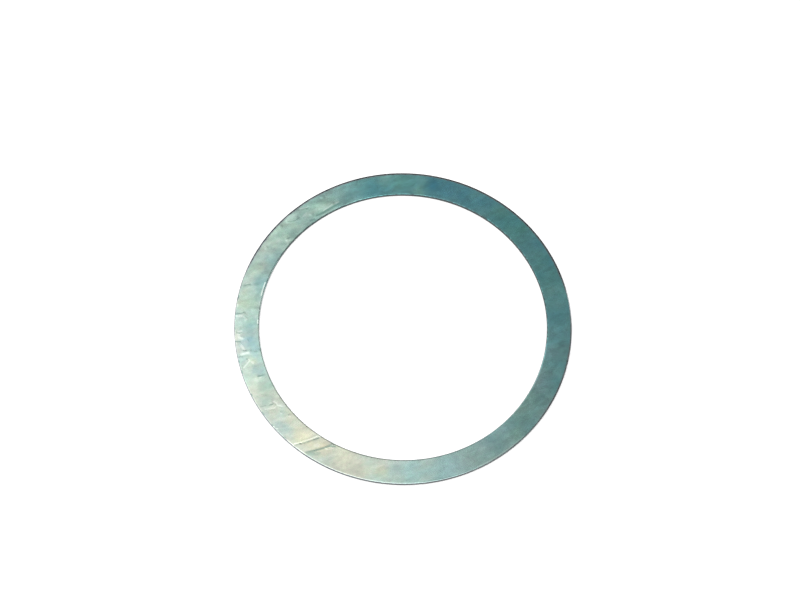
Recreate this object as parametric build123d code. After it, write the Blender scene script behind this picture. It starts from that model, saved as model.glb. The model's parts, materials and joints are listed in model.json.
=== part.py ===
# Flat shim ring, blanked and pierced in one stroke from cold-rolled steel strip.
# It lies on its burr side: the origin is on the ring's axis in the plane of the lower
# face, and +Z points out of the rolled-over upper face. Sizes are in millimetres.

import os

from build123d import *

# The bore passes over a shaft, the band covers the bearing race that it is set
# against, and the gauge of the strip is the play that it takes up.
BORE_DIAMETER = 58.0
BAND_WIDTH = 5.0
THICKNESS = 0.8

# A punched edge, read from the upper face down: the strip is first drawn in at the
# corner (the roll), then sheared to a bright straight land, and then breaks away
# inside the die clearance. Both edges were cut in the same stroke, so both have
# their roll on the upper face.
ROLL_WIDTH = 0.24
ROLL_DEPTH = 0.13
ROLL_BLEND_RADIUS = 0.06
LAND_HEIGHT = 0.34
DIE_CLEARANCE = 0.04
TUMBLED_RADIUS = 0.03

# The wall across the ring turns towards the axis at the bore and away from it outside.
OUTWARD = 1
INWARD = -1


def punched_edge(cut_radius, facing):
    """One cut edge in section, from the upper face to the lower one."""
    roll_start = (cut_radius - facing * ROLL_WIDTH, THICKNESS)
    land_top = (cut_radius, THICKNESS - ROLL_DEPTH)
    land_foot = (cut_radius, THICKNESS - ROLL_DEPTH - LAND_HEIGHT)
    break_foot = (cut_radius - facing * DIE_CLEARANCE, 0)
    # The roll leaves the upper face level and steepens down to the cut wall.
    roll = TangentArc(roll_start, land_top, tangent=(facing, 0))
    return roll + Polyline(land_top, land_foot, break_foot)


def ring_section():
    """The whole band in section, to the right of the ring's axis."""
    bore_x = BORE_DIAMETER / 2
    rim_x = bore_x + BAND_WIDTH
    bore_edge = punched_edge(bore_x, INWARD)
    rim_edge = punched_edge(rim_x, OUTWARD)
    upper_face = Line((bore_x + ROLL_WIDTH, THICKNESS), (rim_x - ROLL_WIDTH, THICKNESS))
    lower_face = Line((bore_x + DIE_CLEARANCE, 0), (rim_x - DIE_CLEARANCE, 0))
    band = make_face(bore_edge + rim_edge + upper_face + lower_face)
    # Next below the upper face's two ends are the tops of the two lands.
    land_tops = band.vertices().group_by(Axis.Y)[-2]
    band = fillet(land_tops, ROLL_BLEND_RADIUS)
    # Tumbling takes the burr off and leaves the two lower corners just rounded.
    lower_corners = band.vertices().group_by(Axis.Y)[0]
    return fillet(lower_corners, TUMBLED_RADIUS)


def shim_ring():
    """The ring itself: one band of strip, turned round its axis."""
    return revolve(Plane.XZ * ring_section(), Axis.Z)


os.makedirs("parts", exist_ok=True)
export_step(shim_ring(), "parts/shim_ring.step")
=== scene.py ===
import json
import math

import bpy
import numpy as np
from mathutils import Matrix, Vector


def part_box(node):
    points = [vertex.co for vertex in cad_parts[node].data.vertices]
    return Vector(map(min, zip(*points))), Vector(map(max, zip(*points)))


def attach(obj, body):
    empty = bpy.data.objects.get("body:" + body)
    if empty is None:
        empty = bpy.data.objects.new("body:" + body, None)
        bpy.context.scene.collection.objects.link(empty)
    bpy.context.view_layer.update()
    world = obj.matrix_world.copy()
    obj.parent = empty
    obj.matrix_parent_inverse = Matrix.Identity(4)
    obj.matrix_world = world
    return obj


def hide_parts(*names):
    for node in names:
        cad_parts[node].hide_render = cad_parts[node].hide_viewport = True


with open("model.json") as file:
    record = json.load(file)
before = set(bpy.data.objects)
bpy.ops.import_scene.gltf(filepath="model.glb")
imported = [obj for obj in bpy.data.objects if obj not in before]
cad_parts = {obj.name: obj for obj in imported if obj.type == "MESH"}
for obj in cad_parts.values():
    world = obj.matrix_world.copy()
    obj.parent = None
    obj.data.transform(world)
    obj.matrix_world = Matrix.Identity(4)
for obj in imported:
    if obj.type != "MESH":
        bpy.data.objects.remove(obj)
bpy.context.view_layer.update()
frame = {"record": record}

# The ring's blank: one band punched from cold-rolled strip, with the upper face's two
# edges rolled over, a straight sheared land below each roll, a break that runs back in
# under the land, and the burr tumbled off the lower corners.
MM = 0.001
ROLL_WIDTH = 0.24 * MM
ROLL_DEPTH = 0.13 * MM
ROLL_FACETS = 7
LAND_FOOT = 0.33 * MM
DIE_CLEARANCE = 0.04 * MM
TUMBLED_RADIUS = 0.03 * MM
TUMBLED_FACETS = 2
ROUND_STEPS = 1440
UPPER_ROWS = 40
LOWER_ROWS = 6
HAIR = 0.001 * MM
mounts = {mount["name"]: mount for mount in frame["record"]["mounts"]}
bore_radius = mounts["bore"]["dims"]["r_mm"] * MM
box_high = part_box("shim_ring")[1]
rim_radius = box_high.x
thickness = box_high.z
band_width = rim_radius - bore_radius
band_middle = (rim_radius + bore_radius) / 2


def vertex_places(piece):
    """The places of the piece's vertices, as an array of x, y, z rows."""
    places = np.empty(len(piece.data.vertices) * 3)
    piece.data.vertices.foreach_get("co", places)
    return places.reshape(-1, 3)


def select_where(piece, test):
    """Selects the vertices whose places pass the test, and stays in edit mode."""
    bpy.ops.object.mode_set(mode="EDIT")
    bpy.ops.mesh.select_mode(type="VERT")
    bpy.ops.mesh.select_all(action="DESELECT")
    bpy.ops.object.mode_set(mode="OBJECT")
    piece.data.vertices.foreach_set("select", test(vertex_places(piece)))
    bpy.ops.object.mode_set(mode="EDIT")


# The blank's section starts as an upright plane. It is drawn tall, so that round
# corners become the flatter, wider rolls when the plane is pressed to the strip's gauge.
stretch = ROLL_WIDTH / ROLL_DEPTH
bpy.ops.object.select_all(action="DESELECT")
bpy.ops.mesh.primitive_plane_add(
    size=1,
    location=(band_middle, 0, thickness * stretch / 2),
    rotation=(math.pi / 2, 0, 0),
)
ring = bpy.context.object
ring.name = "ring"
ring.scale = (band_width, thickness * stretch, 1)
bpy.ops.object.transform_apply(location=True, rotation=True, scale=True)
select_where(ring, lambda places: places[:, 2] > thickness)
bpy.ops.mesh.bevel(affect="VERTICES", offset=ROLL_WIDTH, segments=ROLL_FACETS, profile=0.5)
bpy.ops.mesh.select_all(action="SELECT")
bpy.ops.transform.resize(value=(1, 1, 1 / stretch), center_override=(0, 0, 0))
bpy.ops.mesh.delete(type="ONLY_FACE")

# Each wall gets the foot of its land, and the corners below it go back by the clearance.
land_top = thickness - ROLL_DEPTH
select_where(ring, lambda places: places[:, 2] < land_top + HAIR)
bpy.ops.mesh.select_mode(type="EDGE")
bpy.ops.object.mode_set(mode="OBJECT")
for edge in ring.data.edges:
    ends = [ring.data.vertices[i].co.z for i in edge.vertices]
    edge.select = min(ends) < HAIR and abs(max(ends) - land_top) < HAIR
bpy.ops.object.mode_set(mode="EDIT")
bpy.ops.mesh.subdivide(number_cuts=1)
select_where(ring, lambda places: abs(places[:, 2] - land_top / 2) < HAIR)
bpy.ops.transform.translate(value=(0, 0, LAND_FOOT - land_top / 2))
select_where(ring, lambda places: places[:, 2] < HAIR)
bpy.ops.transform.resize(
    value=(1 - 2 * DIE_CLEARANCE / band_width, 1, 1),
    center_override=(band_middle, 0, 0),
)
bpy.ops.mesh.bevel(affect="VERTICES", offset=TUMBLED_RADIUS, segments=TUMBLED_FACETS)

# The upper and the lower face get their rows, and the section is turned round the axis
# into the ring.
for face_height, rows in ((thickness, UPPER_ROWS), (0, LOWER_ROWS)):
    select_where(ring, lambda places: abs(places[:, 2] - face_height) < HAIR)
    bpy.ops.mesh.subdivide(number_cuts=rows - 1)
bpy.ops.object.mode_set(mode="OBJECT")
turn = ring.modifiers.new("turn", "SCREW")
turn.steps = turn.render_steps = ROUND_STEPS
turn.use_merge_vertices = True
bpy.ops.object.modifier_apply(modifier="turn")
bpy.ops.object.mode_set(mode="EDIT")
bpy.ops.mesh.select_all(action="SELECT")
bpy.ops.mesh.normals_make_consistent(inside=False)
bpy.ops.object.mode_set(mode="OBJECT")

# The strip's wear: long soft waves from coiling and straightening bend the whole band,
# and the ripples, creases, bumps and scratches that it took mostly on one side are a few
# hundredths of a millimetre deep. All of it stays within the strip's own thickness.
WAVE_DEPTH = 0.05 * MM
WAVE_LENGTH = 6 * MM
waves = bpy.data.textures.new("waves", "CLOUDS")
waves.noise_scale = WAVE_LENGTH
waves.noise_depth = 1
sway = ring.modifiers.new("sway", "DISPLACE")
sway.texture = waves
sway.direction = "Z"
sway.texture_coords = "LOCAL"
sway.strength = WAVE_DEPTH
sway.mid_level = 0.5
bpy.ops.object.modifier_apply(modifier="sway")

# The rolls left a finer ripple, drawn out along the strip's grain. It is deepest on the
# left, where the strip was dragged over something hard, and faint on the right.
GRAIN_ANGLE = math.radians(24)
RIPPLE_DEPTH = 0.085 * MM
RIPPLE_LENGTH = 5 * MM
RIPPLE_WIDTH = 1.5 * MM
RIPPLE_STEPS = 8
SHARE_ON_AXIS = 0.35
SHARE_PER_RADIUS = 0.9
LEAST_SHARE = 0.06
shares = ring.vertex_groups.new(name="dragged")
rightward = vertex_places(ring)[:, 0] / rim_radius
leftness = np.clip(SHARE_ON_AXIS - SHARE_PER_RADIUS * rightward, LEAST_SHARE, 1)
for step in range(RIPPLE_STEPS):
    low, high = step / RIPPLE_STEPS, (step + 1) / RIPPLE_STEPS
    members = np.flatnonzero((leftness > low) & (leftness <= high))
    shares.add(members.tolist(), high, "REPLACE")
ripples = bpy.data.textures.new("ripples", "CLOUDS")
ripples.noise_scale = 1
ripples.noise_depth = 1
bpy.ops.object.empty_add(rotation=(0, 0, GRAIN_ANGLE))
guide = bpy.context.object
guide.scale = (RIPPLE_LENGTH, RIPPLE_WIDTH, RIPPLE_LENGTH)
bpy.context.view_layer.objects.active = ring
ripple = ring.modifiers.new("ripple", "DISPLACE")
ripple.texture = ripples
ripple.direction = "Z"
ripple.texture_coords = "OBJECT"
ripple.texture_coords_object = guide
ripple.strength = RIPPLE_DEPTH
ripple.mid_level = 0.5
ripple.vertex_group = "dragged"
bpy.context.view_layer.update()
bpy.ops.object.modifier_apply(modifier="ripple")
bpy.data.objects.remove(guide)
bpy.ops.object.select_all(action="DESELECT")
ring.select_set(True)


def near_path(places, path):
    """How far each place lies from a path on the upper face, measured round the ring.

    The path's points are angles from +X in degrees and mm out from the bore, and its runs
    bend with the ring.
    """
    angles = np.arctan2(places[:, 1], places[:, 0]) % math.tau
    unrolled = np.stack((angles * band_middle, np.hypot(places[:, 0], places[:, 1])), axis=1)
    points = [
        np.array((math.radians(angle) * band_middle, bore_radius + across * MM))
        for angle, across in path
    ]
    nearest = np.full(len(places), np.inf)
    for start, end in zip(points, points[1:]):
        run = end - start
        share = (unrolled - start) @ run / (run @ run)
        foot = start + np.clip(share, 0, 1)[:, None] * run
        nearest = np.minimum(nearest, np.hypot(*(unrolled - foot).T))
    return nearest


def press(depth, reach, *paths):
    """Presses marks into the upper face along paths of angles and mm out from the bore.

    The strip follows smoothly as far as the reach. Both are in mm, and a negative depth
    raises it.
    """
    tool_reach = 0.1 * MM
    upper_part = 0.7 * thickness

    def under_tool(places):
        chosen = np.zeros(len(places), dtype=bool)
        for path in paths:
            chosen |= near_path(places, path) < tool_reach
        return chosen & (places[:, 2] > upper_part)

    select_where(ring, under_tool)
    bpy.ops.transform.translate(
        value=(0, 0, -depth * MM),
        use_proportional_edit=True,
        proportional_edit_falloff="SMOOTH",
        proportional_size=reach * MM,
    )
    bpy.ops.object.mode_set(mode="OBJECT")


# Two creases run right across the band, the first sunk and the second raised. Both are
# shallower towards the rim.
press(0.038, 0.3, [(232.0, 4.7), (233.2, 3.7)])
press(0.045, 0.3, [(233.4, 3.5), (234.4, 2.8), (237.1, 0.4)])
press(-0.015, 0.45, [(236.8, 4.7), (238.8, 3.4)])
press(-0.025, 0.45, [(239.2, 3.1), (241.2, 1.8)])
press(-0.04, 0.45, [(241.6, 1.5), (243.2, 0.4)])

# Short ridges and folds, raised by whatever the strip was dragged over.
press(-0.02, 0.5, [(178.4, 4.8), (178.2, 3.7), (177.8, 3.2)])
press(-0.01, 0.5, [(186.5, 4.5), (187.3, 3.4)])
press(-0.025, 0.5, [(192.6, 3.6), (192.9, 2.3)], [(193.7, 1.8), (193.4, 0.5)])
press(-0.015, 0.6, [(203.5, 2.2), (203.7, 1.2)], [(137.5, 3.8), (134.6, 3.2)])
press(-0.015, 0.6, [(129.3, 1.8), (124.9, 1.5), (120.0, 1.4)])

# Scratches and folds that are sunk.
press(0.015, 0.4, [(167, 4.2), (166, 3.1)], [(184.7, 4.3), (184.6, 3.5)])
press(0.012, 0.4, [(194.0, 4.6), (194.2, 2.6)], [(198.5, 4.3), (196.4, 2.7), (195.6, 3.1)])
press(0.014, 0.4, [(215.6, 4.1), (217.1, 2.4), (216.8, 1.9)])
press(0.014, 0.4, [(214.7, 1.8), (215.8, 1.5), (217.1, 1.5), (218.3, 0.9)])
press(0.01, 0.4, [(131.5, 4.3), (128.7, 3.6)])

# Small round bumps, each a path that is too short to show.
BUMP_RUN = 0.3
bumps = (
    (180, 2.7), (195.5, 3.1), (219.6, 1.8), (222.2, 1.0),
    (143.2, 1.2), (150.5, 3.6), (140.8, 4.1), (121.8, 3.8),
)
press(-0.012, 0.45, *[[(angle, out), (angle + BUMP_RUN, out)] for angle, out in bumps])

# Strokes paint the marks' light and shade into the colour: painted highlights on ridges, slopes
# and rolled edges that face the lamps, partly rubbed bright zinc, and painted shade on dips and
# slopes that face away, partly grime. Some strokes only brighten or darken the reflections on
# the rolls. Each stroke has its shade, bright above 0 and dark below, and its half width in mm.
# It is even in its middle and has faded out at one and a half times its half width.
STROKE_END = 1.5
places = vertex_places(ring)
marks = np.zeros(len(places))
for shade, width, paths in (
    (0.22, 0.08, ([(233.4, 3.0), (234.6, 2.1), (236.5, 0.4)], [(242.2, 1.9), (244.2, 1.0)])),
    (-0.45, 0.08, ([(232.3, 4.5), (234.4, 2.8), (237.3, 0.6)], [(234.9, 2.6), (235.2, 2.3)])),
    (-0.7, 0.08, ([(236.0, 1.6), (237.4, 0.6)], [(215.2, 2.8), (215.5, 2.1)])),
    (-0.45, 0.24, ([(236.8, 4.5), (239.5, 2.8), (243.0, 0.6)], [(131.2, 0.8), (129.7, 0.5)])),
    (-0.3, 0.4, ([(237.4, 4.4), (240.4, 3.4)],)),
    (-0.65, 0.11, ([(238.6, 3.3), (241.6, 1.5)], [(242.2, 1.1), (243.4, 0.8), (244.6, 0.5)])),
    (-0.6, 0.08, ([(167.0, 4.2), (166.0, 3.1)], [(178.2, 4.8), (177.9, 3.7), (177.4, 3.2)])),
    (-0.6, 0.08, ([(185.3, 4.5), (185.4, 3.9)], [(188.3, 4.7), (188.5, 3.9)])),
    (-0.35, 0.1, ([(192.1, 3.6), (192.4, 2.9)], [(193.4, 1.4), (193.7, 0.8)])),
    (-0.3, 0.1, ([(194.2, 4.6), (194.3, 3.9)], [(188.8, 3.9), (188.6, 4.4)])),
    (-0.6, 0.1, ([(195.5, 3.3), (195.6, 3.1)], [(203.3, 2.2), (203.5, 1.0)])),
    (-0.3, 0.12, ([(214.0, 4.5), (214.6, 3.5)], [(219.5, 1.8), (219.7, 1.8)])),
    (-0.5, 0.1, ([(222.4, 1.1), (222.5, 1.0)], [(129.4, 3.4), (128.5, 3.4)])),
    (-0.4, 0.1, ([(137.9, 3.8), (135.8, 2.9), (133.5, 2.8)], [(143.3, 1.3), (142.4, 1.1)])),
    (-0.45, 0.2, ([(128.0, 0.9), (124.4, 0.7), (121.0, 0.8), (117.5, 0.9)],)),
    (-0.2, 0.4, ([(118.0, 0.7), (112.0, 0.8)], [(165.5, 1.9), (161.0, 1.7)])),
    (-0.15, 0.3, ([(175.2, 1.1), (175.0, 0.3)], [(168.5, 0.8), (170.5, 1.4), (172.2, 1.1)])),
    (-0.3, 0.1, ([(277.0, 4.72), (293.0, 4.72)], [(187.8, 2.5), (188.8, 2.2)])),
    (-0.6, 0.1, ([(171.3, 4.8), (172.2, 4.8)], [(183.3, 4.9), (183.8, 4.9)])),
    (-0.6, 0.1, ([(188.3, 4.9), (188.6, 4.5)], [(195.6, 4.8), (196.2, 4.8)])),
    (-0.6, 0.1, ([(199.4, 4.8), (200.2, 4.8)], [(208.5, 4.8), (209.1, 4.8)])),
    (-0.5, 0.1, ([(215.9, 4.8), (217.1, 4.8)], [(221.3, 4.8), (221.9, 4.8)])),
    (-0.5, 0.1, ([(227.5, 4.8), (228.3, 4.7)], [(145.1, 4.8), (145.8, 4.8)])),
    (-0.4, 0.1, ([(347.2, 4.8), (348.0, 4.6)], [(202.9, 2.0), (203.5, 1.8)])),
    (-0.3, 0.1, ([(93.0, 0.22), (108.5, 0.22)],)),
    (0.16, 0.22, ([(178.9, 4.6), (178.8, 3.6)], [(174.6, 4.7), (175.2, 4.7)])),
    (0.2, 0.1, ([(179.2, 3.2), (179.9, 2.4), (180.4, 2.9)], [(184.7, 4.3), (184.6, 3.5)])),
    (0.24, 0.24, ([(185.0, 4.2), (187.0, 4.1), (187.5, 3.5)], [(193.4, 4.1), (193.3, 2.7)])),
    (0.22, 0.24, ([(190.1, 3.8), (191.8, 3.4)], [(197.2, 2.4), (197.6, 2.2)])),
    (0.3, 0.1, ([(198.5, 4.3), (196.4, 2.7), (195.8, 3.0)],)),
    (0.18, 0.1, ([(203.9, 2.0), (204.0, 1.6)], [(220.2, 2.0), (220.4, 2.0)])),
    (0.1, 0.3, ([(204.0, 2.9), (204.9, 2.6)], [(237.8, 2.4), (238.9, 1.9)])),
    (0.18, 0.1, ([(214.7, 1.8), (215.8, 1.5), (217.1, 1.5), (218.3, 0.9)],)),
    (0.16, 0.1, ([(215.6, 4.1), (217.1, 2.4), (216.8, 1.9)], [(223.2, 1.1), (223.4, 1.1)])),
    (0.3, 0.1, ([(222.1, 4.8), (222.5, 4.8)], [(223.5, 4.7), (224.0, 4.5)])),
    (0.2, 0.1, ([(131.5, 4.3), (128.7, 3.6)], [(132.2, 2.5), (130.3, 2.7)])),
    (0.08, 0.5, ([(136.7, 4.1), (134.4, 3.8)], [(145.8, 2.5), (145.9, 2.5)])),
    (0.1, 0.4, ([(131.0, 2.3), (124.0, 1.8), (118.0, 1.5)], [(143.8, 0.9), (144.0, 0.9)])),
    (0.25, 0.14, ([(117.5, 1.3), (120.6, 1.3), (122.5, 1.2), (124.5, 1.1)],)),
    (0.14, 0.08, ([(127.0, 0.2), (123.5, 0.3), (119.2, 0.2)], [(143.0, 0.6), (145.0, 0.5)])),
    (0.4, 0.12, ([(163.8, 0.38), (169.6, 0.38)], [(180.2, 0.3), (181.7, 0.3)])),
    (0.12, 0.1, ([(169.8, 0.25), (176.0, 0.25)], [(229.0, 4.8), (236.5, 4.8)])),
    (0.12, 0.1, ([(184.0, 0.1), (214.0, 0.1)], [(297.0, 4.7), (316.0, 4.7)])),
    (0.06, 0.1, ([(104.4, 0.2), (110.0, 0.2)], [(112.6, 4.6), (113.4, 4.6)])),
):
    for path in paths:
        stroke = shade * np.clip(STROKE_END - near_path(places, path) / (width * MM), 0, 1)
        marks = np.where(abs(stroke) > abs(marks), stroke, marks)
ring.data.attributes.new("marks", "FLOAT", "POINT").data.foreach_set("value", marks)

# Everything stays within the strip's gauge, as it was rolled.
SMOOTH_BELOW = math.radians(35)
corner_heights = [corner[2] for corner in ring.bound_box]
lowest = min(corner_heights)
highest = max(corner_heights)
bpy.ops.object.mode_set(mode="EDIT")
bpy.ops.mesh.select_all(action="SELECT")
bpy.ops.transform.translate(value=(0, 0, -lowest))
bpy.ops.transform.resize(
    value=(1, 1, thickness / (highest - lowest)), center_override=(0, 0, 0)
)
bpy.ops.object.mode_set(mode="OBJECT")
bpy.ops.object.shade_smooth_by_angle(angle=SMOOTH_BELOW)
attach(ring, "root")
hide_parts("shim_ring")

# The plating: zinc over the rolled steel, with a clear passive film that runs from straw
# to blue with its thickness, stands in patches where the rinse dried last, and is drawn
# out along the grain of the strip. Places on it are in millimetres.
THIN_AND_SHEEN_SIDE = 225
THINNING = 1 / 63
THICKEST = 1.2
WANDERING = 3


def grow(tree, kind, feeds, **options):
    """Adds a shader node with its options, and feeds its inputs from values or sockets."""
    grown = tree.nodes.new("ShaderNode" + kind)
    for option, value in options.items():
        setattr(grown, option, value)
    for name, feed in feeds.items():
        if isinstance(feed, bpy.types.NodeSocket):
            tree.links.new(feed, grown.inputs[name])
        else:
            grown.inputs[name].default_value = feed
    return grown


def reckon(tree, operation, *values):
    """The outcome of one sum on values or sockets."""
    return grow(tree, "Math", dict(enumerate(values)), operation=operation).outputs[0]


def strip_millimetres(tree):
    """The place on the ring in millimetres, turned so that X runs along the grain."""
    place = grow(tree, "TexCoord", {}).outputs["Object"]
    scaled = grow(tree, "VectorMath", {0: place, "Scale": 1 / MM}, operation="SCALE")
    feeds = {"Vector": scaled.outputs[0], "Angle": -GRAIN_ANGLE}
    return grow(tree, "VectorRotate", feeds, rotation_type="Z_AXIS").outputs[0]


def noise(tree, place, squeeze, scale, detail, shift=0.0):
    """Soft noise from 0 to 1, drawn out along each axis where its squeeze is below 1."""
    squeezed = grow(tree, "VectorMath", {0: place, 1: squeeze}, operation="MULTIPLY").outputs[0]
    moved = grow(tree, "VectorMath", {0: squeezed, 1: (shift,) * 3}, operation="ADD").outputs[0]
    feeds = {"Vector": moved, "Scale": scale, "Detail": detail}
    return grow(tree, "TexNoise", feeds).outputs["Fac"]


def ramp(tree, level, *stops):
    """A colour that follows the level through the stops."""
    grown = grow(tree, "ValToRGB", {"Fac": level})
    elements = grown.color_ramp.elements
    while len(elements) < len(stops):
        elements.new(1.0)
    for element, (position, color) in zip(elements, stops):
        element.position = position
        element.color = (*color, 1)
    return grown.outputs["Color"]


def blend(tree, share, first, second, way="MIX"):
    """A colour that goes from the first to the second with the share."""
    feeds = {0: share, 6: first, 7: second}
    return grow(tree, "Mix", feeds, data_type="RGBA", blend_type=way).outputs[2]


def rise(tree, level, start, full, most=1.0):
    """Goes softly from 0 to the most while the level goes from the start to the full."""
    feeds = {"Value": level, "From Min": start, "From Max": full, "To Max": most}
    return grow(tree, "MapRange", feeds, interpolation_type="SMOOTHSTEP").outputs["Result"]


# The plating and the cut walls both change along the ring. This group says how much a
# place lies towards an angle: 0 up to the cosine at Start, and 1 from the one at Full.
side_group = bpy.data.node_groups.new("one_side", "ShaderNodeTree")
for name in ("Angle", "Start", "Full"):
    side_group.interface.new_socket(name, in_out="INPUT", socket_type="NodeSocketFloat")
side_group.interface.new_socket("Share", in_out="OUTPUT", socket_type="NodeSocketFloat")
asked = side_group.nodes.new("NodeGroupInput").outputs
aim_x = reckon(side_group, "COSINE", asked["Angle"])
aim_y = reckon(side_group, "SINE", asked["Angle"])
aim = grow(side_group, "CombineXYZ", {"X": aim_x, "Y": aim_y}).outputs[0]
place = grow(side_group, "TexCoord", {}).outputs["Object"]
around = grow(side_group, "VectorMath", {0: place}, operation="NORMALIZE").outputs[0]
cosine = grow(side_group, "VectorMath", {0: around, 1: aim}, operation="DOT_PRODUCT")
share = rise(side_group, cosine.outputs["Value"], asked["Start"], asked["Full"])
side_group.links.new(share, side_group.nodes.new("NodeGroupOutput").inputs["Share"])


def one_side(tree, angle, start, full):
    """Places the group in a material, for an angle in degrees."""
    feeds = {"Angle": math.radians(angle), "Start": start, "Full": full}
    return grow(tree, "Group", feeds, node_tree=side_group).outputs["Share"]


plating = bpy.data.materials.new("plating")
plating.use_nodes = True
tree = plating.node_tree
shader = tree.nodes["Principled BSDF"]
place = strip_millimetres(tree)
clouds = noise(tree, place, squeeze=(0.7, 1, 1), scale=0.22, detail=2.0, shift=3.0)
streaks = noise(tree, place, squeeze=(0.1, 1.2, 1), scale=1.0, detail=1.5)
mottle = noise(tree, place, squeeze=(0.6, 1, 1), scale=0.9, detail=2.0)
bloom = noise(tree, place, squeeze=(1, 1, 1), scale=2.4, detail=3.0, shift=7.0)
specks = noise(tree, place, squeeze=(0.8, 1, 1), scale=1.5, detail=3.0, shift=11.0)

# The film thins towards one side, towards the lamps, where the tone is paler and warmer:
# partly the film's own tint and partly painted sheen. It wavers with three of the noises,
# each by its share of the thickness.
turned = math.radians(THIN_AND_SHEEN_SIDE) - GRAIN_ANGLE
aim = (math.cos(turned), math.sin(turned), 0)
drift = grow(tree, "VectorMath", {0: place, 1: aim}, operation="DOT_PRODUCT").outputs["Value"]
film = reckon(tree, "MULTIPLY_ADD", drift, -THINNING, 0.5)
for level, share in ((clouds, 0.7), (streaks, 0.05), (mottle, 0.12)):
    film = reckon(tree, "MULTIPLY_ADD", reckon(tree, "SUBTRACT", level, 0.5), share, film)

# The film stands thicker or thinner over long stretches, each by its angle, mm out from
# the bore, reach and change. The borders of all patches wander.
wander = grow(tree, "TexNoise", {"Vector": place, "Scale": 0.5, "Detail": 3.0}).outputs["Color"]
aside = grow(tree, "VectorMath", {0: wander, 1: (0.5, 0.5, 0.5)}, operation="SUBTRACT")
feeds = {0: aside.outputs[0], 1: (WANDERING, WANDERING, 0), 2: place}
warped = grow(tree, "VectorMath", feeds, operation="MULTIPLY_ADD").outputs[0]


def patch(angle, across, reach, strength):
    """A soft round patch of that strength in its middle, which ends at its reach in mm."""
    turned = math.radians(angle) - GRAIN_ANGLE
    radius = bore_radius / MM + across
    middle = (radius * math.cos(turned), radius * math.sin(turned), 0)
    away = grow(tree, "VectorMath", {0: warped, 1: middle}, operation="DISTANCE").outputs["Value"]
    return rise(tree, away, reach, 0.0, strength)


for long_patch in (
    (138, 3, 18, -0.22),
    (102, 2.0, 8, 0.09),
    (196, 2.5, 12, 0.08),
    (247, 2.5, 11, -0.12),
    (345, 2.5, 14, -0.08),
):
    film = reckon(tree, "ADD", film, patch(*long_patch))
# The thin end of this ramp is paler and warmer, partly as painted sheen.
tone = ramp(
    tree,
    reckon(tree, "DIVIDE", film, THICKEST),
    (0.0, (0.39, 0.43, 0.36)),
    (0.2, (0.31, 0.43, 0.38)),
    (0.45, (0.25, 0.42, 0.39)),
    (0.72, (0.18, 0.42, 0.42)),
    (1.0, (0.13, 0.38, 0.44)),
)

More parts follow.
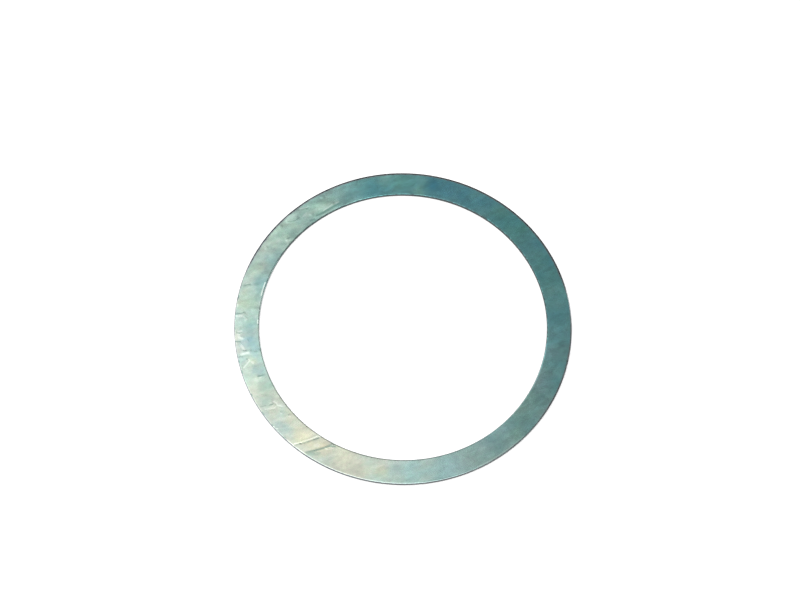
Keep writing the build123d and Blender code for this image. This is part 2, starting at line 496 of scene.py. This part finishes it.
# Patches of other tints, each kind with the angle, mm out from the bore, reach and
# strength of its patches.
BLUE = (0.54, 0.79, 1.0, 1)
GREEN = (0.95, 1.02, 0.84, 1)
CREAM = (1.16, 0.98, 0.8, 1)
GOLD = (1.1, 1.0, 0.74, 1)
PALE = (1.2, 1.26, 1.22, 1)
TEAL = (0.74, 0.9, 0.93, 1)
SHADE = (0.7, 0.77, 0.8, 1)
LILAC = (1.14, 1.0, 1.06, 1)
GREY = (0.9, 0.86, 0.87, 1)
for tint, patches in (
    (BLUE, ((60, 3, 3, 0.3), (68, 2.5, 4, 0.35), (75, 2.5, 4.5, 0.6), (79.4, 2.8, 3.8, 1.0))),
    (BLUE, ((105, 0.6, 2.4, 0.2), (26.5, 4, 2.2, 0.35), (12, 2.7, 2.5, 0.2), (357, 2.4, 3, 0.3))),
    (BLUE, ((153, 0.8, 3, 0.2), (185, 1.9, 2.6, 0.4), (188.5, 2.1, 2.8, 0.75), (192, 1.2, 2, 0.5))),
    (BLUE, ((201, 1.5, 2.2, 0.5), (222.5, 4.2, 2.2, 0.5), (225.4, 3.7, 2.4, 0.5), (228, 3.2, 2, 0.4))),
    (BLUE, ((217, 4.6, 2, 0.3), (275, 2.4, 6, 0.2), (286, 2.5, 7, 0.3), (165, 1.2, 3, 0.2))),
    (GREEN, ((86, 1.8, 3.4, 0.2), (91, 3, 4, 0.5), (173.5, 3.2, 3, 0.6), (42, 3.8, 2.6, 0.4))),
    (GREEN, ((29, 3.5, 3, 0.3), (126, 2, 4, 0.4), (160.5, 3.8, 2.6, 0.5), (315, 3.4, 2.6, 0.6))),
    (GREEN, ((231, 3.4, 2.4, 0.4), (330, 1.2, 2.4, 0.4), (202.6, 3.8, 1.4, 0.4), (181, 2, 2.4, 0.3))),
    (GREEN, ((47, 2.2, 8, 0.5), (322, 1.2, 4, 0.4), (208, 1.6, 4, 0.3), (20, 2, 9, 0.3))),
    (CREAM, ((232, 1.6, 3.6, 0.4), (240, 2, 3, 0.8), (236.5, 3, 2.4, 0.7), (251, 2.8, 5, 0.2))),
    (CREAM, ((197.2, 2.5, 2, 0.5), (224, 0.8, 2.6, 0.3), (221, 0.6, 2, 0.4), (99, 4.6, 3.4, 0.6))),
    (CREAM, ((191, 3.4, 1.3, 0.6), (196.8, 1.8, 1.6, 0.5), (195, 3.2, 1.4, 0.4))),
    (CREAM, ((248, 0.9, 4, 0.25), (169.2, 4.2, 1.6, 0.5), (157.8, 2.9, 1.8, 0.2))),
    (CREAM, ((136.8, 1.8, 1.8, 0.4), (177, 3.6, 1.2, 0.3), (218.5, 3, 1.8, 0.3), (171, 1.4, 5, 0.2))),
    (GOLD, ((121, 1.8, 2.2, 0.3), (84, 1, 2.6, 0.4), (263.5, 2.7, 2.6, 0.4), (258, 3, 3, 0.2))),
    (GOLD, ((233, 2, 2.4, 0.3), (53, 3.4, 3, 0.3), (142, 2, 7, 0.25))),
    (PALE, ((126, 2.4, 4.6, 0.8), (119.2, 1.9, 2.8, 0.8), (110, 4, 4, 0.3), (97, 4.6, 4.4, 0.9))),
    (PALE, ((273.5, 0.8, 1.8, 0.4), (135, 3.8, 3, 0.6), (104, 0.6, 2, 0.3), (196, 3.8, 3, 0.5))),
    (PALE, ((205, 4, 2.4, 0.5), (143, 4.2, 4.4, 0.75), (157.8, 2.9, 1.6, 0.3), (186.2, 4.1, 2.4, 0.9))),
    (PALE, ((191, 3.4, 1.3, 0.6), (232, 2, 6, 0.4), (247, 1, 4, 0.3), (279, 2.5, 1.4, 0.3))),
    (PALE, ((181, 4.5, 2.4, 0.5), (197, 2, 2, 0.3), (227, 0.6, 2, 0.2), (204.4, 3, 1.4, 0.3))),
    (PALE, ((207.5, 4.4, 2.6, 0.4), (202, 4.4, 4, 0.3), (248, 0.8, 4, 0.35), (352, 0.3, 4, 0.35))),
    (PALE, ((262, 2.4, 4, 0.25), (322, 0.4, 4, 0.3), (1, 0.4, 4, 0.25), (276, 0.8, 5, 0.2))),
    (TEAL, ((209, 1.6, 3.4, 0.5), (213, 3.3, 2.8, 0.9), (103.5, 2.4, 2.6, 0.5), (107.5, 2.2, 2.6, 0.6))),
    (TEAL, ((153, 1.1, 3.4, 0.4), (182, 1.4, 2.8, 0.5), (90, 2, 4, 0.2), (45, 3.2, 3, 0.3))),
    (TEAL, ((315, 1.8, 3, 0.4), (239, 4.4, 1.8, 0.9), (238, 3.8, 1.4, 0.5), (243.5, 4, 2.4, 0.4))),
    (TEAL, ((158, 1.2, 3, 0.3), (164, 1.1, 3, 0.3), (224, 3.9, 3, 0.3), (188.3, 2.3, 1.8, 0.3))),
    (TEAL, ((269, 3.4, 4, 0.3), (278, 2.8, 6, 0.4), (129, 1.8, 6, 0.25), (113, 2.6, 4, 0.15))),
    (TEAL, ((118.5, 2.2, 2.4, 0.3), (139, 1.2, 4, 0.2), (98, 2.4, 3.4, 0.2))),
    (TEAL, ((12, 2, 6, 0.15), (27, 2, 7, 0.15), (42, 1.6, 6, 0.2), (53, 1.4, 6, 0.25))),
    (TEAL, ((307, 2.6, 5, 0.25), (334, 2.4, 7, 0.25), (350, 2.6, 5, 0.2), (96, 2, 5, 0.25))),
    (SHADE, ((151, 0.7, 2.4, 0.6), (155, 0.9, 2.6, 0.8), (159, 1.2, 2.6, 0.7), (164, 1.2, 3, 0.9))),
    (SHADE, ((168.5, 0.9, 2.6, 0.5), (165, 3, 2, 0.4), (141.6, 1, 1.8, 0.7), (146, 1.6, 2.4, 0.5))),
    (SHADE, ((139.4, 3, 1.6, 0.5), (134.8, 2.7, 1.3, 0.4), (171.5, 1.2, 2, 0.3), (175.5, 0.8, 2, 0.2))),
    (SHADE, ((181, 1.5, 2.4, 0.45), (185, 1.5, 2.6, 0.5), (189.5, 1.5, 2.6, 0.5), (194, 0.9, 1.4, 0.4))),
    (SHADE, ((199.8, 2.3, 1.4, 0.6), (203, 1.6, 2, 0.3), (214.5, 1.5, 1.8, 0.5), (211, 2, 4, 0.3))),
    (SHADE, ((156, 3.8, 6, 0.35), (98, 2, 4.2, 0.45), (45, 2.4, 8, 0.15), (52, 1.2, 7, 0.3))),
    (SHADE, ((307, 2.8, 4, 0.6), (320, 2.6, 6, 0.75), (330, 2.8, 4, 0.55), (338, 2.8, 5, 0.55))),
    (SHADE, ((350, 2.8, 4, 0.55), (22, 2.6, 6, 0.55), (37, 2, 5, 0.35), (5, 2.8, 4, 0.4))),
    (SHADE, ((41.5, 3.6, 1.6, 0.3), (347.5, 3.6, 1.6, 0.3), (356.5, 2, 2, 0.3), (105, 1.8, 2.4, 0.2))),
    (SHADE, ((139, 1, 2.2, 0.5), (111, 1.2, 3, 0.1), (296, 2.5, 6, 0.1), (81, 1.8, 4, 0.3))),
    (LILAC, ((268, 1.2, 4, 0.5), (292, 3, 5, 0.4), (304, 0.6, 4, 0.7), (322, 0.4, 3, 0.4))),
    (LILAC, ((350, 0.6, 3.4, 0.9), (86.5, 1.1, 2, 0.5), (110, 2.4, 2.6, 0.1), (109, 1.3, 1.8, 0.2))),
    (LILAC, ((98.8, 4.7, 3, 0.9), (195.6, 4.2, 1.8, 0.6), (166, 3.2, 2, 0.4), (207.8, 4.4, 2, 0.4))),
    (LILAC, ((58, 0.6, 2.4, 0.4), (190, 4.2, 3, 0.6), (186, 4.2, 2.4, 0.5), (180, 4.2, 3, 0.5))),
    (LILAC, ((337, 0.6, 4, 0.9), (313, 0.6, 3, 0.6), (0, 0.6, 4, 0.3), (72, 2.6, 5, 0.3))),
    (LILAC, ((233, 1, 4, 0.3), (232, 4.2, 3, 0.4), (275, 0.8, 4, 0.4), (192, 3.6, 4, 0.3))),
    (GREY, ((250, 2.5, 9, 0.6), (241, 3.8, 3, 0.3), (146, 1.7, 2.6, 0.4))),
):
    share = 0.0
    for spot in patches:
        share = reckon(tree, "MAXIMUM", patch(*spot), share)
    tone = blend(tree, share, tone, tint, "MULTIPLY")
for level, low, high in (
    (mottle, (0.92, 0.92, 0.94), (1.05, 1.04, 1.06)),
    (streaks, (0.97, 0.97, 0.97), (1.03, 1.03, 1.03)),
    (bloom, (1.03, 0.975, 1.015), (0.97, 1.025, 0.985)),
    (specks, (0.93, 0.93, 0.94), (1.07, 1.07, 1.06)),
):
    tone = blend(tree, 1.0, tone, ramp(tree, level, (0.3, low), (0.7, high)), "MULTIPLY")

# The roll's steep half is painted dark: partly bare steel and partly painted shade where the
# roll faces away from the lamps. The zinc beside it is rubbed, and on the bore's far half it
# is darker still, as painted shade. Their nibbled borders are given in mm from the middle of
# the band. The dark is widened as painted shade along the rim's far side, which faces away,
# and along its right side, where it also dims a lamp's reflection, and a little on the bore's
# right, and it is narrow elsewhere on the bore.
RUBBED_FROM = 2.25
RUBBED_FULL = 2.45
BARE_FROM = 2.46
BARE_FULL = 2.56
NIBBLING = 0.3
WIDENING = 0.28
FAR_SIDE = 70
FAR_FROM = 0.05
FAR_FULL = 0.25
NEAR_BORE_SHARE = -0.3
RUBBED_ZINC = (0.24, 0.27, 0.28, 1)
DULL_ZINC_AND_SHADE = (0.045, 0.07, 0.07, 1)
BARE_STEEL_AND_SHADE = (0.04, 0.055, 0.06, 1)
flat = grow(tree, "VectorMath", {0: place, 1: (1, 1, 0)}, operation="MULTIPLY").outputs[0]
radius = grow(tree, "VectorMath", {0: flat}, operation="LENGTH").outputs["Value"]
at_rim = reckon(tree, "GREATER_THAN", radius, band_middle / MM)
at_bore = reckon(tree, "SUBTRACT", 1.0, at_rim)
far_bore = reckon(tree, "MULTIPLY", at_bore, one_side(tree, FAR_SIDE, FAR_FROM, FAR_FULL))
near_bore = reckon(tree, "SUBTRACT", at_bore, far_bore)
widened = reckon(tree, "MULTIPLY", near_bore, NEAR_BORE_SHARE)

# Each stretch has its edge, its angle, the cosines where it starts and is full, and its
# share of the widening.
for edge, angle, start, full, share in (
    (at_rim, 88, 0.2, 0.4, 1.0),
    (at_rim, 345, 0.9, 0.98, 0.55),
    (at_bore, 38, 0.6, 0.9, 0.15),
    (at_bore, 132, 0.7, 0.95, -0.3),
):
    along = reckon(tree, "MULTIPLY", edge, one_side(tree, angle, start, full))
    widened = reckon(tree, "MULTIPLY_ADD", along, share, widened)
crumbs = noise(tree, place, squeeze=(1, 1, 1), scale=1.6, detail=3.0)
nibble = reckon(tree, "SUBTRACT", crumbs, 0.5)
from_middle = reckon(tree, "ABSOLUTE", reckon(tree, "SUBTRACT", radius, band_middle / MM))
edge_reach = reckon(tree, "MULTIPLY_ADD", nibble, NIBBLING, from_middle)
edge_reach = reckon(tree, "MULTIPLY_ADD", widened, WIDENING, edge_reach)
# Painted shade: the rubbed band is darker on the bore's far half.
rub_and_shade_tone = blend(tree, far_bore, RUBBED_ZINC, DULL_ZINC_AND_SHADE)
tone = blend(tree, rise(tree, edge_reach, RUBBED_FROM, RUBBED_FULL), tone, rub_and_shade_tone)
tone = blend(tree, rise(tree, edge_reach, BARE_FROM, BARE_FULL), tone, BARE_STEEL_AND_SHADE)

# The strokes drawn on the mesh give the painted highlights, partly rubbed zinc, and the
# painted shade, partly grime, and the rolls left fine scratches along the grain.
BRIGHT_ZINC_AND_HIGHLIGHT = (0.95, 0.97, 0.92, 1)
GRIME_AND_SHADE = (0.05, 0.14, 0.12, 1)
LEAST_ROUGHNESS = 0.2
MOTTLED_ROUGHNESS = 0.06
SCRATCH_DEPTH = 0.002 * MM
drawn = grow(tree, "Attribute", {}, attribute_name="marks").outputs["Fac"]
highlights_and_crests = reckon(tree, "MAXIMUM", drawn, 0.0)
shade_and_hollows = reckon(tree, "MAXIMUM", reckon(tree, "MULTIPLY", drawn, -1.0), 0.0)
tone = blend(tree, highlights_and_crests, tone, BRIGHT_ZINC_AND_HIGHLIGHT)
tone = blend(tree, shade_and_hollows, tone, GRIME_AND_SHADE)
tree.links.new(tone, shader.inputs["Base Color"])
shader.inputs["Metallic"].default_value = 1.0
rough = reckon(tree, "MULTIPLY_ADD", mottle, MOTTLED_ROUGHNESS, LEAST_ROUGHNESS)
tree.links.new(rough, shader.inputs["Roughness"])
scratches = noise(tree, place, squeeze=(0.05, 2.0, 1), scale=1.0, detail=1.0)
bump = grow(tree, "Bump", {"Height": scratches, "Strength": 0.3, "Distance": SCRATCH_DEPTH})
tree.links.new(bump.outputs["Normal"], shader.inputs["Normal"])
ring.data.materials.append(plating)

# The cut walls: bare steel, burnished on the sheared land and torn and dull on the break
# below it, and scored from top to bottom by the punch and the die. Towards one side, where
# the main lamps are, they are painted lighter as a painted highlight.
BRIGHT_SIDE = 208
BRIGHT_FROM = 0.86
BRIGHT_FULL = 0.98
BRIGHT_SHARE = 0.8
WALL_LEAN = 0.5
TORN_FROM = 0.45 * MM
TORN_FULL = 0.2 * MM
DULL_BELOW = 0.3 * MM
SMOOTH_ABOVE = 0.36 * MM
TORN_ROUGHNESS = 0.6
LAND_ROUGHNESS = 0.35
SCORE_DEPTH = 0.01 * MM
TORN_STEEL = (0.09, 0.1, 0.1, 1)
SIDE_HIGHLIGHT_STEEL = (0.4, 0.43, 0.43, 1)
sheared = bpy.data.materials.new("sheared_steel")
sheared.use_nodes = True
tree = sheared.node_tree
shader = tree.nodes["Principled BSDF"]
place = grow(tree, "TexCoord", {}).outputs["Object"]
scores = noise(tree, place, squeeze=(1 / MM, 1 / MM, 0.05 / MM), scale=3.0, detail=3.0)
tone = ramp(tree, scores, (0.3, (0.02, 0.033, 0.038)), (0.7, (0.048, 0.07, 0.078)))
height = grow(tree, "SeparateXYZ", {0: place}).outputs["Z"]
tone = blend(tree, rise(tree, height, TORN_FROM, TORN_FULL), tone, TORN_STEEL)
# Painted highlight: the walls are lighter towards the lamps' side.
bright = one_side(tree, BRIGHT_SIDE, BRIGHT_FROM, BRIGHT_FULL)
bright = reckon(tree, "MULTIPLY", bright, BRIGHT_SHARE)
tone = blend(tree, bright, tone, SIDE_HIGHLIGHT_STEEL)
tree.links.new(tone, shader.inputs["Base Color"])
shader.inputs["Metallic"].default_value = 1.0
feeds = {
    "Value": height,
    "From Min": DULL_BELOW,
    "From Max": SMOOTH_ABOVE,
    "To Min": TORN_ROUGHNESS,
    "To Max": LAND_ROUGHNESS,
}
rough = grow(tree, "MapRange", feeds).outputs["Result"]
tree.links.new(rough, shader.inputs["Roughness"])
bump = grow(tree, "Bump", {"Height": scores, "Strength": 0.5, "Distance": SCORE_DEPTH})
tree.links.new(bump.outputs["Normal"], shader.inputs["Normal"])
ring.data.materials.append(sheared)
wall_slot = len(ring.data.materials) - 1
for face in ring.data.polygons:
    if abs(face.normal.z) < WALL_LEAN:
        face.material_index = wall_slot

# The studio: a plain white floor that runs into white far off, a plain grey room light,
# and soft panels overhead. The ring mirrors the blurred edge of one, only slopes that face
# the camera catch the near one, and two lamps pick out slopes that face right and far.
FLOOR_COLOR = (0.9, 0.9, 0.9, 1)
FLOOR_WIDTH = 6.0
FLOOR_LIFT = 0.25
FLOOR_NEAR = 0.12
FLOOR_FAR = 0.6
bpy.ops.object.select_all(action="DESELECT")
bpy.ops.mesh.primitive_plane_add(size=FLOOR_WIDTH)
floor = bpy.context.object
floor.name = "floor"
white = bpy.data.materials.new("white_floor")
white.use_nodes = True
tree = white.node_tree
shader = tree.nodes["Principled BSDF"]
shader.inputs["Base Color"].default_value = FLOOR_COLOR
shader.inputs["Roughness"].default_value = 1.0
shader.inputs["Specular IOR Level"].default_value = 0.0
shader.inputs["Emission Color"].default_value = (1, 1, 1, 1)

# Near the ring the lamps light the floor, which keeps the shadow. Its own light, for the
# rays that see it, grows to plain white far off.
ray = grow(tree, "LightPath", {})
seen = reckon(tree, "MAXIMUM", ray.outputs["Is Camera Ray"], ray.outputs["Is Glossy Ray"])
seen = reckon(tree, "MAXIMUM", seen, ray.outputs["Is Transmission Ray"])
place = grow(tree, "TexCoord", {}).outputs["Object"]
away = grow(tree, "VectorMath", {0: place}, operation="LENGTH").outputs["Value"]
feeds = {"Value": away, "From Min": FLOOR_NEAR, "From Max": FLOOR_FAR, "To Min": FLOOR_LIFT}
whiteness = grow(tree, "MapRange", feeds).outputs["Result"]
lift = reckon(tree, "MULTIPLY", seen, whiteness)
tree.links.new(lift, shader.inputs["Emission Strength"])
floor.data.materials.append(white)

ROOM_LIGHT = 0.38
world = bpy.data.worlds.new("room")
bpy.context.scene.world = world
world.use_nodes = True
tree = world.node_tree
backdrop = tree.nodes["Background"]
backdrop.inputs["Color"].default_value = (1, 1, 1, 1)
backdrop.inputs["Strength"].default_value = ROOM_LIGHT

PANEL_HEIGHT = 0.5
PANEL_LENGTH = 0.8
PANEL_TURN = math.radians(30)


def soft_lamp(name, width, height, radiance, location, rotation):
    """A soft rectangular lamp. With no rotation it faces down."""
    lamp_data = bpy.data.lights.new(name, "AREA")
    lamp_data.shape = "RECTANGLE"
    lamp_data.size = width
    lamp_data.size_y = height
    lamp_data.energy = radiance * math.pi * width * height
    lamp = bpy.data.objects.new(name, lamp_data)
    bpy.context.scene.collection.objects.link(lamp)
    lamp.location = location
    lamp.rotation_euler = rotation


def soft_panel(name, edge, width, along, radiance):
    """A level panel overhead, turned a little about the ring's axis.

    Its right edge passes the axis at that distance, and its middle lies that far along.
    """
    across = edge - width / 2
    place = (
        across * math.cos(PANEL_TURN) - along * math.sin(PANEL_TURN),
        across * math.sin(PANEL_TURN) + along * math.cos(PANEL_TURN),
        PANEL_HEIGHT,
    )
    soft_lamp(name, width, PANEL_LENGTH, radiance, place, (0, 0, PANEL_TURN))


soft_panel("edge_panel", edge=0.088, width=0.15, along=0.1, radiance=1.45)
soft_panel("main_panel", edge=-0.062, width=0.5, along=0.1, radiance=2.2)
soft_lamp(
    "near_panel",
    width=0.3,
    height=0.28,
    radiance=1.6,
    location=(-0.02, -0.11, 0.48),
    rotation=(0, 0, 0),
)
soft_lamp(
    "right_lamp",
    width=0.4,
    height=0.15,
    radiance=4.0,
    location=(0.467, 0.152, 0.344),
    rotation=(math.radians(55), 0, math.radians(108)),
)
soft_lamp(
    "far_lamp",
    width=0.4,
    height=0.15,
    radiance=2.5,
    location=(0.31, 0.45, 0.254),
    rotation=(math.radians(65), 0, math.radians(145)),
)

# The camera looks down on the ring from the near side, and is tipped a little.
CAMERA_DISTANCE = 420.7 * MM
CAMERA_ELEVATION = math.radians(66.45)
CAMERA_TIP = math.radians(1.58)
CAMERA_LENS = 93.3
AIM_POINT = (-0.77 * MM, 5.47 * MM, 0)
camera_data = bpy.data.cameras.new("camera")
camera_data.lens = CAMERA_LENS
camera = bpy.data.objects.new("camera", camera_data)
bpy.context.scene.collection.objects.link(camera)
camera.location = (
    AIM_POINT[0],
    AIM_POINT[1] - CAMERA_DISTANCE * math.cos(CAMERA_ELEVATION),
    AIM_POINT[2] + CAMERA_DISTANCE * math.sin(CAMERA_ELEVATION),
)
camera.rotation_mode = "ZYX"
camera.rotation_euler = (math.pi / 2 - CAMERA_ELEVATION, 0, CAMERA_TIP)
camera_data.clip_start = 0.01
bpy.context.scene.camera = camera
bpy.context.scene.view_settings.view_transform = "Standard"
